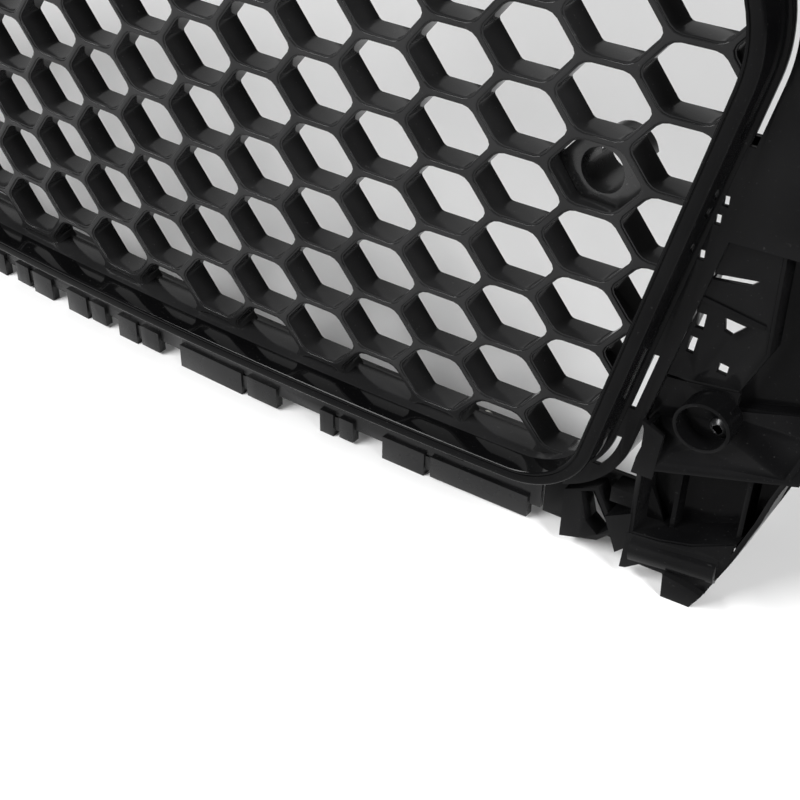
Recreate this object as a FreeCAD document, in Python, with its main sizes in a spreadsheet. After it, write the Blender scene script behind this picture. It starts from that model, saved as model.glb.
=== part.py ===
import FreeCAD, Part
import math
import os

import Sketcher
from FreeCAD import Placement, Rotation, Vector

# A front grille for a car: a bowed honeycomb mesh held between a glossy surround and the
# carriers and brackets behind it. Row frame: +X to the grille's left-hand side as seen by the
# driver, -Y is the front, +Z is up, and z = 0 is the surface that it stands on.
#
# Every plate follows one bow: a vertical cylinder of radius bow_radius whose surface is the
# mesh's middle surface. A depth is measured back from that surface, so depths in front of it
# are negative. Outlines are drawn as seen from the front and measured outwards from the
# opening's edge.

os.makedirs("parts", exist_ok=True)
doc = FreeCAD.newDocument("front_grille")
sheet = doc.addObject("Spreadsheet::Sheet", "sizes")

SIZES = {
    # the bow and the block of space that all outlines are cut through
    "bow_radius": 2930, "apex_y": -26, "reach": 90, "sky": 440,
    # the opening: three corner arcs a side, joined by tangent lines
    "low_arc_x": 332.5, "low_arc_z": 88, "low_arc_size": 34,
    "side_arc_x": 349.5, "side_arc_z": 283.6, "side_arc_size": 60,
    "top_arc_x": 346.5, "top_arc_z": 327, "top_arc_size": 45,
    # surround
    "lip_front": -24, "lip_back": -21.4, "lip_width": 7.4, "wall": 1.8, "inner_wall_back": -11,
    "outer_wall_back": -6, "post_size": 2.3, "post_back": -6.5, "pilot_size": 1.25,
    # honeycomb
    "mesh_front": -6, "mesh_back": 9.4, "rim_front": -10.8, "rim_back": 7, "rim": 1.7,
    "column_pitch": 35, "row_pitch": 33.73, "first_row_z": 57.1, "cell_half": 22,
    "cell_flat_half": 10, "cell_half_height": 15.35, "ear_size": 3, "ear_front": -5.7,
    "ear_back": 7, "through_size": 1.8,
    # the plane where carriers and brackets clamp the mesh
    "clamp_front": 7.3, "clamp_back": 9.8, "clamp_inset": 1.2, "clamp_reach": 14.6,
    "lug_inset": 1.2,
    # lower carrier
    "skirt_front": 5, "skirt_back": 7.5, "skirt_low_z": 9, "lower_half": 336,
    "shelf_z": 39.4, "shelf_thick": 2.6, "shelf_back": 24, "tab_front": 2.5, "tab_top_z": 15,
    "tab_bottom_z": 0, "gusset_thick": 2,
    # upper carrier
    "top_shelf_z": 384.4, "top_shelf_thick": 2.6, "top_lip_z": 393, "top_half": 352,
    "top_edge_y": 26, "top_tab_y": 49, "top_tab_half": 17, "top_hole_x": 100,
    "top_hole_pitch": 200, "top_hole_y": 38, "bolt_hole_size": 3.5,
    # side brackets
    "strip_front": -5.6, "strip_back": -3.2, "strip_inset": 8.2, "strip_reach": 17.7,
    "slit_inset": 9.3, "slit_wide": 2.6, "spine_inset": 15.3, "wing_front": 10, "wing_back": 12.6, "wing_x": 462,
    "wing_top_z": 344, "deck_z": 197, "bracket_wall": 2.4, "box_front": -1, "apron_front": -9,
    "wing_hole_x": 446, "wing_hole_low_z": 215, "wing_hole_pitch": 120, "boss_x": 415,
    "boss_z": 105.5, "boss_front": -11, "boss_size": 13, "boss_bore": 11.4, "boss_floor": -1,
    "boss_screw_x": 419.6, "boss_screw_z": 102.6, "boss_shank": 2.4, "boss_screw_length": 21,
    # sensor holders
    "sensor_x": 350, "sensor_bore": 10.5, "collar_size": 12.6, "collar_depth": 25,
    # fasteners
    "screw_shank": 1.2, "screw_head": 3, "screw_head_high": 2.4, "screw_length": 25,
    "nut_sheet": 0.8, "nut_half": 7,
}
for row, (alias, value) in enumerate(SIZES.items(), start=1):
    sheet.set(f"A{row}", alias)
    sheet.set(f"B{row}", str(value))
    sheet.setAlias(f"B{row}", alias)
doc.recompute()


def size(alias):
    """A driving dimension's value, read from the sheet."""
    return float(getattr(sheet, alias))


def bind(thing, prop, value):
    """Sets a property from an expression on the sheet's cells, or from a plain number."""
    thing.setExpression(prop, with_cells(value))


def with_cells(value):
    """An expression in which each known word stands for its cell in the sheet."""
    words = str(value).replace("(", " ( ").replace(")", " ) ").split()
    return " ".join(f"sizes.{w}" if w in SIZES else w for w in words)


def value_of(value):
    """The number that such an expression gives."""
    words = str(value).replace("(", " ( ").replace(")", " ) ").split()
    return total_of([str(size(w)) if w in SIZES else w for w in words])


def total_of(words):
    """Adds up plain sums and products of numbers, left to right, products first."""
    total, sign, index = 0.0, 1.0, 0
    while index < len(words):
        word = words[index]
        if word in "+-":
            sign = 1.0 if word == "+" else -1.0
            index += 1
            continue
        term = float(word)
        index += 1
        while index + 1 < len(words) and words[index] in "*/":
            factor = float(words[index + 1])
            term = term * factor if words[index] == "*" else term / factor
            index += 2
        total += sign * term
        sign = 1.0
    return total


def bow_y(x, depth=0.0):
    """The y of a point at that x, at that depth behind the mesh's middle surface."""
    radius = size("bow_radius") - depth
    centre_y = size("apex_y") + size("bow_radius")
    return centre_y - math.sqrt(radius * radius - x * x)


# ---------------------------------------------------------------- building blocks

slabs = {}
outlines = {}


def cylinder_of_bow(depth):
    """The vertical cylinder whose surface is the bow at that depth."""
    can = doc.addObject("Part::Cylinder", "bow_cylinder")
    bind(can, "Radius", f"bow_radius - ( {depth} )")
    bind(can, "Height", "sky + 20")
    bind(can, "Placement.Base.y", "apex_y + bow_radius")
    can.setExpression("Placement.Base.z", "-10")
    return can


def slab(front, back):
    """The bowed slab between two depths."""
    if (front, back) not in slabs:
        shell = doc.addObject("Part::Cut", "bow_slab")
        shell.Base = cylinder_of_bow(front)
        shell.Tool = cylinder_of_bow(back)
        slabs[(front, back)] = shell
    return slabs[(front, back)]


def boolean(kind, name, base, tool):
    made = doc.addObject(kind, name)
    made.Base = base
    made.Tool = tool
    made.Refine = False
    return made


def cut(name, base, tool):
    return boolean("Part::Cut", name, base, tool)


def common(name, base, tool):
    return boolean("Part::Common", name, base, tool)


def fuse(name, pieces):
    made = doc.addObject("Part::MultiFuse", name)
    made.Shapes = pieces
    return made


def chain(name, pieces):
    """Fuses the pieces one after another, which copes with many shared planes."""
    made = pieces[0]
    for piece in pieces[1:]:
        made = boolean("Part::Fuse", name, made, piece)
    return made


def outline(outset):
    """The opening's outline moved outwards by outset, pushed through the whole depth."""
    if outset in outlines:
        return outlines[outset]
    sketch = doc.addObject("Sketcher::SketchObject", "outline")
    start = Vector(0, -size("reach"), 0)
    sketch.Placement = Placement(start, Rotation(Vector(1, 0, 0), 90))
    out = value_of(outset)
    arcs = [("low_arc", 1), ("side_arc", 1), ("top_arc", 1)]
    arcs += [("top_arc", -1), ("side_arc", -1), ("low_arc", -1)]
    centres = [Vector(s * size(a + "_x"), size(a + "_z"), 0) for a, s in arcs]
    radii = [size(a + "_size") + out for a, s in arcs]
    ends = []
    for i in range(6):
        here, there = centres[i], centres[(i + 1) % 6]
        gap = there.sub(here)
        along = math.atan2(gap.y, gap.x)
        lean = math.asin((radii[i] - radii[(i + 1) % 6]) / gap.Length)
        normal = along - math.pi / 2 + lean
        side = Vector(math.cos(normal), math.sin(normal), 0)
        ends.append((normal, here + side * radii[i], there + side * radii[(i + 1) % 6]))
    for i in range(6):
        enter, leave = ends[i - 1][0], ends[i][0]
        while leave < enter:
            leave += 2 * math.pi
        circle = Part.Circle(centres[i], Vector(0, 0, 1), radii[i])
        sketch.addGeometry(Part.ArcOfCircle(circle, enter, leave), False)
        sketch.addGeometry(Part.LineSegment(ends[i][1], ends[i][2]), False)
    for i in range(6):
        arc, line, following = 2 * i, 2 * i + 1, (2 * i + 2) % 12
        sketch.addConstraint(Sketcher.Constraint("Tangent", arc, 2, line, 1))
        sketch.addConstraint(Sketcher.Constraint("Tangent", line, 2, following, 1))
    for i, (alias, side) in enumerate(arcs):
        radius = sketch.addConstraint(Sketcher.Constraint("Radius", 2 * i, radii[i]))
        bind(sketch, f"Constraints[{radius}]", f"{alias}_size + ( {outset} )")
        x = Sketcher.Constraint("DistanceX", -1, 1, 2 * i, 3, centres[i].x)
        z = Sketcher.Constraint("DistanceY", -1, 1, 2 * i, 3, centres[i].y)
        bind(sketch, f"Constraints[{sketch.addConstraint(x)}]", f"{side} * {alias}_x")
        bind(sketch, f"Constraints[{sketch.addConstraint(z)}]", f"{alias}_z")
    block = doc.addObject("Part::Extrusion", "outline_block")
    block.Base = sketch
    block.DirMode = "Custom"
    block.Dir = Vector(0, 1, 0)
    bind(block, "LengthFwd", "2 * reach")
    block.Solid = True
    outlines[outset] = block
    return block


def band(inner, outer, front, back):
    """A wall that runs round the opening between two outsets and two depths."""
    ring = cut("band_outline", outline(outer), outline(inner))
    return common("band", ring, slab(front, back))


def block(x0, x1, z0, z1):
    """A box between those x and z, through the whole depth."""
    made = doc.addObject("Part::Box", "block")
    bind(made, "Length", f"{x1} - ( {x0} )")
    bind(made, "Width", "2 * reach")
    bind(made, "Height", f"{z1} - ( {z0} )")
    bind(made, "Placement.Base.x", x0)
    bind(made, "Placement.Base.y", "-1 * reach")
    bind(made, "Placement.Base.z", z0)
    return made


def panel(x0, x1, z0, z1, front, back):
    """A box seen from the front, bowed between two depths."""
    return common("panel", block(x0, x1, z0, z1), slab(front, back))


def rod(x, z, radius):
    """A cylinder along y through the whole depth."""
    made = doc.addObject("Part::Cylinder", "rod")
    bind(made, "Radius", radius)
    bind(made, "Height", "2 * reach")
    made.Placement = Placement(Vector(0, 0, 0), Rotation(Vector(1, 0, 0), -90))
    bind(made, "Placement.Base.x", x)
    bind(made, "Placement.Base.y", "-1 * reach")
    bind(made, "Placement.Base.z", z)
    return made


def post(x, z, radius, front, back):
    return common("post", rod(x, z, radius), slab(front, back))


def prism(points, front, back):
    """A polygon seen from the front, bowed between two depths."""
    face = doc.addObject("Part::Polygon", "prism_outline")
    face.Nodes = [Vector(value_of(x), -size("reach"), value_of(z)) for x, z in points]
    face.Close = True
    solid = doc.addObject("Part::Extrusion", "prism_block")
    solid.Base = face
    solid.DirMode = "Custom"
    solid.Dir = Vector(0, 1, 0)
    bind(solid, "LengthFwd", "2 * reach")
    solid.Solid = True
    return common("prism", solid, slab(front, back))


def mirrored(name, source):
    made = doc.addObject("Part::Mirroring", name)
    made.Source = source
    made.Normal = Vector(1, 0, 0)
    return made


def drill(name, solid, cutters):
    return cut(name, solid, fuse("cutters", cutters) if len(cutters) > 1 else cutters[0])


def part(label, thing):
    """Marks an object as a finished piece: its label names its file."""
    thing.Label = label
    finished.append(thing)
    return thing


finished = []


def side_x(z, outset):
    """The x of the opening's slanted side, moved outwards, at that height."""
    dx = size("side_arc_x") - size("low_arc_x")
    dz = size("side_arc_z") - size("low_arc_z")
    along = math.atan2(dz, dx)
    lean = math.asin((size("low_arc_size") - size("side_arc_size")) / math.hypot(dx, dz))
    normal = along - math.pi / 2 + lean
    radius = size("low_arc_size") + outset
    foot_x = size("low_arc_x") + radius * math.cos(normal)
    foot_z = size("low_arc_z") + radius * math.sin(normal)
    return foot_x + (z - foot_z) * math.tan(-normal)


# Screws that clamp the surround, the mesh and the part behind them, down the middle of the
# surround's channel.
CHANNEL_OUTSET = 4.3
LOWER_SCREW_X = (60, 180, 300)
UPPER_SCREW_X = (60, 180, 290)
SIDE_SCREW_Z = (150, 228)
low_z = size("low_arc_z") - size("low_arc_size") - CHANNEL_OUTSET
top_z = size("top_arc_z") + size("top_arc_size") + CHANNEL_OUTSET
lower_spots = [(s * x, low_z) for x in LOWER_SCREW_X for s in (-1, 1)]
upper_spots = [(s * x, top_z) for x in UPPER_SCREW_X for s in (-1, 1)]
right_spots = [(side_x(z, CHANNEL_OUTSET), z) for z in SIDE_SCREW_Z]
left_spots = [(-x, z) for x, z in right_spots]
all_spots = lower_spots + upper_spots + right_spots + left_spots


# ---------------------------------------------------------------- surround

def make_trim_ring():
    """Glossy surround: a channel open at the back, with a screw post at every screw."""
    bar = band("0", "lip_width", "lip_front", "outer_wall_back")
    channel = band("wall", "lip_width - wall", "lip_back", "outer_wall_back + 1")
    inner_end = band("-1", "wall + 1", "inner_wall_back", "outer_wall_back + 1")
    shell = cut("surround_shell", cut("surround_bar", bar, channel), inner_end)
    posts = [post(x, z, "post_size", "lip_back - 1", "post_back") for x, z in all_spots]
    pilots = [post(x, z, "pilot_size", "lip_back + 1", "post_back + 1") for x, z in all_spots]
    solid = fuse("surround_solid", [shell] + posts)
    part("trim_ring", drill("surround", solid, pilots))


# ---------------------------------------------------------------- honeycomb

def cell_centres():
    """Centres of the honeycomb's cells. Odd columns stand half a row lower."""
    pitch, rise, first = size("column_pitch"), size("row_pitch"), size("first_row_z")
    centres = []
    for column in range(-12, 13):
        shift = 0.0 if column % 2 else rise / 2
        for row in range(-1, 11):
            centres.append((column * pitch, first + shift + row * rise))
    return centres


def cell_wire(x, z, grow=0.0):
    """One six-sided cell, flat at the top and bottom."""
    half = size("cell_half") + grow
    flat = size("cell_flat_half") + grow * 0.5
    tall = size("cell_half_height") + grow
    corners = [(half, 0), (flat, tall), (-flat, tall), (-half, 0), (-flat, -tall), (flat, -tall)]
    points = [Vector(x + dx, -size("reach"), z + dz) for dx, dz in corners]
    return Part.makePolygon(points + points[:1])


def make_honeycomb():
    """Honeycomb moulding: cells, the deeper wall round them, and an ear at every screw."""
    opening = outline("0")
    plate = common("honeycomb_plate", outline("rim / 2"), slab("mesh_front", "mesh_back"))
    doc.recompute()
    depth = Vector(0, 2 * size("reach"), 0)
    prisms = [Part.Face(cell_wire(x, z)).extrude(depth) for x, z in cell_centres()]
    near = [p for p in prisms if p.BoundBox.ZMin > -20 and p.BoundBox.ZMax < size("sky")]
    cells = doc.addObject("Part::Feature", "cells")
    cells.Shape = Part.makeCompound([p for p in near if open_area(p, opening.Shape) > SMALLEST_CELL])
    webbing = cut("honeycomb_webbing", plate, cells)
    rim = band("0", "rim", "rim_front", "rim_back")
    ears = [post(x, z, "ear_size", "ear_front", "ear_back") for x, z in all_spots]
    outer_ears = cut("ear_trim", fuse("ears", ears), opening)
    holes = [post(x, z, "through_size", "ear_front - 1", "ear_back + 1") for x, z in all_spots]
    solid = fuse("honeycomb_solid", [webbing, rim, outer_ears])
    part("honeycomb_mesh", drill("honeycomb", solid, holes))


def open_area(prism_shape, opening_shape):
    """How much of a cell lies inside the opening, as seen from the front."""
    if all(opening_shape.isInside(corner.Point, 0.1, True) for corner in prism_shape.Vertexes):
        return prism_shape.Volume / (2 * size("reach"))
    return prism_shape.common(opening_shape).Volume / (2 * size("reach"))


# A clipped corner smaller than this many square millimetres is left closed.
SMALLEST_CELL = 25


# ---------------------------------------------------------------- carriers

# Snap tabs along the lower carrier's edge, from the middle outwards: start, end, and the notch
# in the bottom of each.
LOWER_TABS = ((7, 40, 26), (51, 84, 68), (101, 172, 149), (202, 224, 213), (243, 330, 271))


def make_lower_carrier():
    """Lower rail: clamp flange, shelf, skirt with snap tabs, and gussets behind it."""
    flange_ring = band("clamp_inset", "clamp_reach", "clamp_front", "clamp_back")
    flange = common("lower_flange", flange_ring,
                    block("-1 * lower_half", "lower_half", "20", "70"))
    shelf = panel("-1 * lower_half", "lower_half", "shelf_z", "shelf_z + shelf_thick",
                  "skirt_front", "shelf_back")
    skirt = panel("-1 * lower_half", "lower_half", "skirt_low_z", "shelf_z + shelf_thick",
                  "skirt_front", "skirt_back")
    rear_lip = panel("-1 * lower_half", "lower_half", "shelf_z - 9", "shelf_z + shelf_thick",
                     "shelf_back - 2.2", "shelf_back")
    pieces = [flange, shelf, skirt, rear_lip]
    for start, end, notch in LOWER_TABS:
        for side in (-1, 1):
            for a, b, bottom in ((start, notch - 2, "tab_bottom_z"), (notch + 2, end, "tab_bottom_z + 1.5")):
                low, high = sorted((side * a, side * b))
                pieces.append(panel(low, high, bottom, "tab_top_z", "tab_front", "skirt_back"))
            low, high = sorted((side * (notch - 2), side * (notch + 2)))
            pieces.append(panel(low, high, "tab_bottom_z + 4", "tab_top_z - 2",
                                "tab_front + 1.5", "skirt_back"))
            middle = side * (start + end) / 2
            for at in (middle - 11, middle + 11):
                pieces.append(panel(at, f"{at} + gusset_thick", "skirt_low_z + 6", "shelf_z + 1",
                                    "skirt_back - 1", "shelf_back - 1"))
    holes = [post(x, z, "through_size", "clamp_front - 1", "clamp_back + 1")
             for x, z in lower_spots]
    for start, end, notch in LOWER_TABS:
        for side in (-1, 1):
            middle = side * (start + end) / 2
            holes.append(panel(middle - 5, middle + 5, "19", "29", "skirt_front - 1", "skirt_back + 1"))
    part("lower_carrier", drill("lower_carrier_cut", fuse("lower_carrier_solid", pieces), holes))


def make_upper_carrier():
    """Upper rail: clamp flange, shelf with bolted tabs, a front lip and stiffening ribs."""
    flange_ring = band("clamp_inset", "clamp_reach", "clamp_front", "clamp_back")
    flange = common("upper_flange", flange_ring,
                    block("-1 * top_half", "top_half", "350", "top_shelf_z + 2"))
    shelf_block = common("shelf_depth", block("-1 * top_half", "top_half", "top_shelf_z",
                                              "top_shelf_z + top_shelf_thick"),
                         slab("clamp_front", "80"))
    keep = doc.addObject("Part::Box", "shelf_keep")
    bind(keep, "Length", "2 * top_half")
    bind(keep, "Width", "reach + top_edge_y")
    bind(keep, "Height", "sky")
    bind(keep, "Placement.Base.x", "-1 * top_half")
    bind(keep, "Placement.Base.y", "-1 * reach")
    shelf = common("shelf", shelf_block, keep)
    lip = panel("-1 * top_half", "top_half", "top_shelf_z + 1", "top_lip_z",
                "clamp_front", "clamp_front + 2")
    pieces = [flange, shelf, lip]
    holes = [post(x, z, "through_size", "clamp_front - 1", "clamp_back + 1")
             for x, z in upper_spots]
    for x in (-300, -100, 100, 300):
        tab = doc.addObject("Part::Box", "bolted_tab")
        bind(tab, "Length", "2 * top_tab_half")
        bind(tab, "Width", "top_tab_y - top_edge_y + 4")
        bind(tab, "Height", "top_shelf_thick")
        bind(tab, "Placement.Base.x", f"{x} - top_tab_half")
        bind(tab, "Placement.Base.y", "top_edge_y - 4")
        bind(tab, "Placement.Base.z", "top_shelf_z")
        bore = doc.addObject("Part::Cylinder", "tab_hole")
        bind(bore, "Radius", "bolt_hole_size")
        bind(bore, "Height", "top_shelf_thick + 4")
        bind(bore, "Placement.Base.x", str(x))
        bind(bore, "Placement.Base.y", "top_hole_y")
        bind(bore, "Placement.Base.z", "top_shelf_z - 2")
        pieces.append(tab)
        holes.append(bore)
        for side in (-1, 1):
            at = x + side * 13
            pieces.append(panel(f"{at} - 1", f"{at} + 1", "top_shelf_z - 11", "top_shelf_z + 1",
                                "clamp_front", "30"))
    for x in (-200, 0, 200):
        window = doc.addObject("Part::Box", "shelf_window")
        bind(window, "Length", "70")
        bind(window, "Width", "14")
        bind(window, "Height", "8")
        bind(window, "Placement.Base.x", f"{x} - 35")
        bind(window, "Placement.Base.y", "top_edge_y - 24")
        bind(window, "Placement.Base.z", "top_shelf_z - 3")
        holes.append(window)
    for side in (-1, 1):
        stem = doc.addObject("Part::Cylinder", "stop_hole")
        bind(stem, "Radius", "4")
        bind(stem, "Height", "8")
        bind(stem, "Placement.Base.x", str(side * STOP_X))
        bind(stem, "Placement.Base.y", str(STOP_Y))
        bind(stem, "Placement.Base.z", "top_shelf_z - 2")
        holes.append(stem)
    part("upper_carrier", drill("upper_carrier_cut", fuse("upper_carrier_solid", pieces), holes))


# Rubber stops on the top shelf.
STOP_X, STOP_Y = 240, 14


# ---------------------------------------------------------------- side brackets

# The bracket's outlines, right-hand side, as (x, z) seen from the front. Its lower half leans
# outwards with the bumper's corner, so the lower edges all slope.
BACK_OUTLINE = ((387, 30), (438, 30), (449, 64), (461, 104), ("wing_x", 108),
                ("wing_x", "deck_z + 1.5"), (362, "deck_z + 1.5"), (362, 78), (387, 78))
BACK_WINDOW = ((362, 99), (388, 99), (416.5, 109), (418.5, 114), (427, 140), (427, 190), (362, 190))
BOX_OUTLINE = ((370, 120.5), (398, 121), (424, 124), (432, 146), (430.5, "deck_z + 1"),
               (370, "deck_z + 1"))
BOX_SIDE = ((422, 124), (424.4, 123.4), (433.4, 146), (432, "deck_z + 1"), (429.6, "deck_z + 1"),
            (431, 146))
BOX_HOLES = (((400.5, 149), (404.2, 149), (404.6, 157), (401, 157)),
             ((398.4, 135.6), (401.6, 135.2), (402.6, 144), (399.4, 144.4)),
             ((412, 158.5), (422, 156.9), (416.2, 150.4), (413, 151.6)),
             ((413, 130), (417.6, 129.4), (418, 134.6), (413.6, 135.4)),
             ((403.2, 174.6), (420, 176.6), (423.6, 180.2), (402.4, 177.4)))
BOX_RIDGE = ((396, 165), (430, 158.4), (430, 160.8), (396, 167.4))
FACET = ((380, 92), (383, 117.2), (398, 118.2), (424, 121.2), (424, 108), (403, 92))
POCKET_FLOOR = ((389.5, 27.2), (404.6, 28.8), (420, 33.2), (440, 43), (440, 45.4), (420, 35.8),
                (404.6, 31.4), (389.5, 29.8))
POCKET_SIDE = ((427.6, 8), (436.8, 32.4), (445.8, 62), (449.6, 78.4), (458.1, 106), (460.5, 106),
               (452, 78.4), (448.2, 62), (439.2, 32.4), (430, 8))
CORNER_PLATE = ((386, 66), (396.4, 66), (398.4, 92.5), (387.6, 97.5), (390.4, 88), (387.4, 76))
APRON = ((388.8, 28.6), (404.6, 30.4), (420, 34.6), (439, 44.6), (438.4, 32.4), (430.4, 8.6),
         (425.6, 1.5), (411.6, 1.5), (408.8, 11.4), (397, 11.4), (390.5, 6), (387.4, 5.1))
FOOT_FACE = ((410.6, 14.4), (424, 11.8), (430.6, 9.8), (425.8, 0), (411.4, 0))
BRIDGE = (("lower_half + 1.5", 8), (386, 8), (404, 22), (391, 50), (360, 50), ("lower_half + 1.5", 39))
BRIDGE_WINDOW = ((356.4, 30.4), (362.8, 33), (373.8, 12.4), (367.4, 5), (360.6, 11.6))
WINDOW_FRAME = ((352.4, 36), (369.4, 44.6), (381, 21), (372, 11.4), (352.4, 5))
WINDOW_OPENING = ((361, 38.6), (367.8, 42), (378.2, 22), (371.8, 14.8), (365.4, 20.6))
CORNER_BLOCK = ((376.6, 33), (389.6, 41), (389.6, 19), (384, 12.8))


def outside(inset, shape):
    return cut("outside", shape, outline(inset))


def swept_along(name, x, points, rise, length):
    """A profile of (depth, z) points at one x, pushed along the bow and uphill."""
    face = doc.addObject("Part::Polygon", name + "_profile")
    face.Nodes = [Vector(x, bow_y(x, depth), z) for depth, z in points]
    face.Close = True
    solid = doc.addObject("Part::Extrusion", name)
    solid.Base = face
    solid.DirMode = "Custom"
    end = x + length
    solid.Dir = Vector(length, bow_y(end) - bow_y(x), rise * length)
    solid.LengthFwd = solid.Dir.Length
    solid.Solid = True
    return solid


def bracket_front():
    """The flat front: a plate beside the surround that widens above the deck, and its spine."""
    wide = block("352", "wing_x", "deck_z", "348")
    narrow = common("narrow", outline("strip_reach"), block("352", "wing_x", "24", "deck_z + 2"))
    flat = outside("strip_inset", boolean("Part::Fuse", "front_outline", wide, narrow))
    plate = common("front_plate", flat, slab("strip_front", "strip_back"))
    spine_ring = band("spine_inset", "strip_reach - 0.6", "strip_back - 1", "wing_back - 0.5")
    spine = common("spine", spine_ring, block("360", "wing_x", "64", "wing_top_z"))
    pieces = [plate, spine]
    for z, back in (("deck_z", "wing_front + 1"), (250, "8"), (300, "8")):
        shelf = outside("spine_inset + 1", block("362", "wing_x - 1", z, f"{z} + bracket_wall"))
        pieces.append(common("shelf", shelf, slab("strip_back - 1", back)))
    pieces.append(panel("wing_x - bracket_wall", "wing_x - 0.2", "110", "wing_top_z",
                        "strip_back - 1.4", "17"))
    for x, z in right_spots:
        lug = outside("lug_inset", block("362", "430", f"{z} - 10.5", f"{z} + 10.5"))
        inner = common("lug_inner", lug, outline("strip_reach - 1.4"))
        pieces.append(common("lug", inner, slab("clamp_front", "clamp_back")))
    return pieces


def bracket_box():
    """The back plate and the perforated box that stands in front of its window."""
    plate = outside("spine_inset + 0.8", prism(BACK_OUTLINE, "wing_front", "wing_back"))
    back = cut("back_plate", plate, prism(BACK_WINDOW, "wing_front - 1", "wing_back + 1"))
    front = outside("spine_inset + 0.8", prism(BOX_OUTLINE, "box_front", "box_front + bracket_wall"))
    ridge = outside("spine_inset + 1.2", prism(BOX_RIDGE, "box_front - 1.2", "box_front + 1"))
    side = prism(BOX_SIDE, "box_front + 0.5", "wing_front + 1")
    return [back, front, ridge, side]


def bracket_roof():
    """Sloping roof with a ledge behind it, the round boss and the facet beside the boss."""
    profile = ((-9, 68), (3, 96.6), (11.4, 97.4), (11.4, 94.8), (4.4, 94.2), (-7.6, 66), (-9, 66))
    roof = swept_along("roof", 389.5, [(d, z + 3) for d, z in profile], 0.3, 71)
    cup = post("boss_x", "boss_z", "boss_size", "boss_front", "boss_floor + 2.5")
    pillar = post("boss_screw_x", "boss_screw_z", "6.2", "boss_floor + 1", "wing_front + 1")
    facet = outside("strip_reach - 1", prism(FACET, "1", "3.4"))
    return [roof, cup, pillar, facet]


def bracket_pocket():
    """Pocket under the roof, open at the front, with the apron and the foot below it."""
    pieces = [prism(POCKET_FLOOR, "apron_front + 0.8", "wing_front + 1"),
              prism(POCKET_SIDE, "apron_front + 0.4", "wing_front + 1.4"),
              panel("388.8", "391.2", "27.8", "96", "apron_front + 0.6", "wing_front + 1.8"),
              prism(CORNER_PLATE, "apron_front", "apron_front + bracket_wall"),
              panel("404", "406.2", "30", "82", "2", "wing_front + 1"),
              panel("437", "439.2", "40", "92", "-2", "wing_front + 1.2"),
              prism(APRON, "apron_front + 0.1", "apron_front + bracket_wall")]
    bulge = ((-8, 12), (-11, 14), (-12.4, 18), (-12.8, 21), (-12.2, 24), (-10.8, 26.6), (-8, 28))
    pieces.append(swept_along("bulge", 392, bulge, 0.12, 42))
    pieces.append(prism(FOOT_FACE, "-12.5", "apron_front + 1"))
    pieces.append(panel("411.6", "425.4", "0", "2.4", "-11", "6"))
    for x in (412.2, 422.6):
        pieces.append(panel(x, f"{x} + 2.2", "1", "10", "-10", "5.6"))
    return pieces


def bracket_bridge():
    """The plate that runs in under the opening to the lower carrier, with its framed window."""
    bridge = cut("bridge", prism(BRIDGE, "skirt_front", "skirt_back"),
                 prism(BRIDGE_WINDOW, "skirt_front - 1", "skirt_back + 1"))
    frame = cut("window_frame", prism(WINDOW_FRAME, "-4", "skirt_front + 1"),
                prism(WINDOW_OPENING, "-5", "skirt_front + 2"))
    return [bridge, frame, prism(CORNER_BLOCK, "apron_front + 0.3", "skirt_front + 0.8"),
            panel("376", "391", "40", "49", "-4.4", "skirt_back - 0.4")]


def bracket_holes():
    """Clamp holes, the boss's bore, wing bolt holes, see-through slits and the box's holes."""
    holes = [post(x, z, "through_size", "clamp_front - 1", "clamp_back + 1")
             for x, z in right_spots]
    holes.append(post("boss_x", "boss_z", "boss_bore", "boss_front - 1", "boss_floor"))
    holes.append(post("boss_screw_x", "boss_screw_z", "boss_shank + 0.4", "boss_front - 2", "14"))
    for turn in (0, 1):
        holes.append(post("wing_hole_x", f"wing_hole_low_z + {turn} * wing_hole_pitch",
                          "bolt_hole_size", "strip_front - 1", "strip_back + 1"))
    slit = band("slit_inset", "slit_inset + slit_wide", "strip_front - 1", "strip_back + 1")
    for low, high in ((60, 81), (99, 132), (240, 345)):
        holes.append(common("slit", slit, block("352", "wing_x", low, high)))
    for z in (185, 203, 212):
        x = side_x(z, size("slit_inset"))
        holes.append(panel(x, x + 2.6, z, z + 5, "strip_front - 1", "strip_back + 1"))
    holes += [prism(points, "box_front - 3", "box_front + 4") for points in BOX_HOLES]
    return holes


def make_bracket():
    """Right-hand bracket, which joins the surround's end to the bumper."""
    pieces = bracket_front() + bracket_box() + bracket_roof() + bracket_pocket() + bracket_bridge()
    solid = chain("bracket_solid", pieces)
    drilled = drill("bracket_drilled", solid, bracket_holes())
    # the roof's outer end is sloped, so the whole is trimmed to the grille's width
    trimmed = common("bracket_zone", drilled, block("lower_half + 0.6", "wing_x", "0", "348"))
    return part("side_bracket_right", trimmed)


def make_left_bracket(right):
    part("side_bracket_left", mirrored("left_bracket", right))


# ---------------------------------------------------------------- sensor holders

def plane_of(body, role):
    return next(f for f in body.Origin.OriginFeatures if f.Role == role)


def sketch_on(body, role, name):
    sketch = body.newObject("Sketcher::SketchObject", name)
    sketch.AttachmentSupport = [(plane_of(body, role), "")]
    sketch.MapMode = "FlatFace"
    return sketch


def circle_in(sketch, radius, x=0.0, y=0.0):
    """A circle whose radius is bound to the sheet."""
    at = sketch.addGeometry(Part.Circle(Vector(x, y, 0), Vector(0, 0, 1), value_of(radius)), False)
    row = sketch.addConstraint(Sketcher.Constraint("Radius", at, value_of(radius)))
    bind(sketch, f"Constraints[{row}]", radius)
    return at


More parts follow.
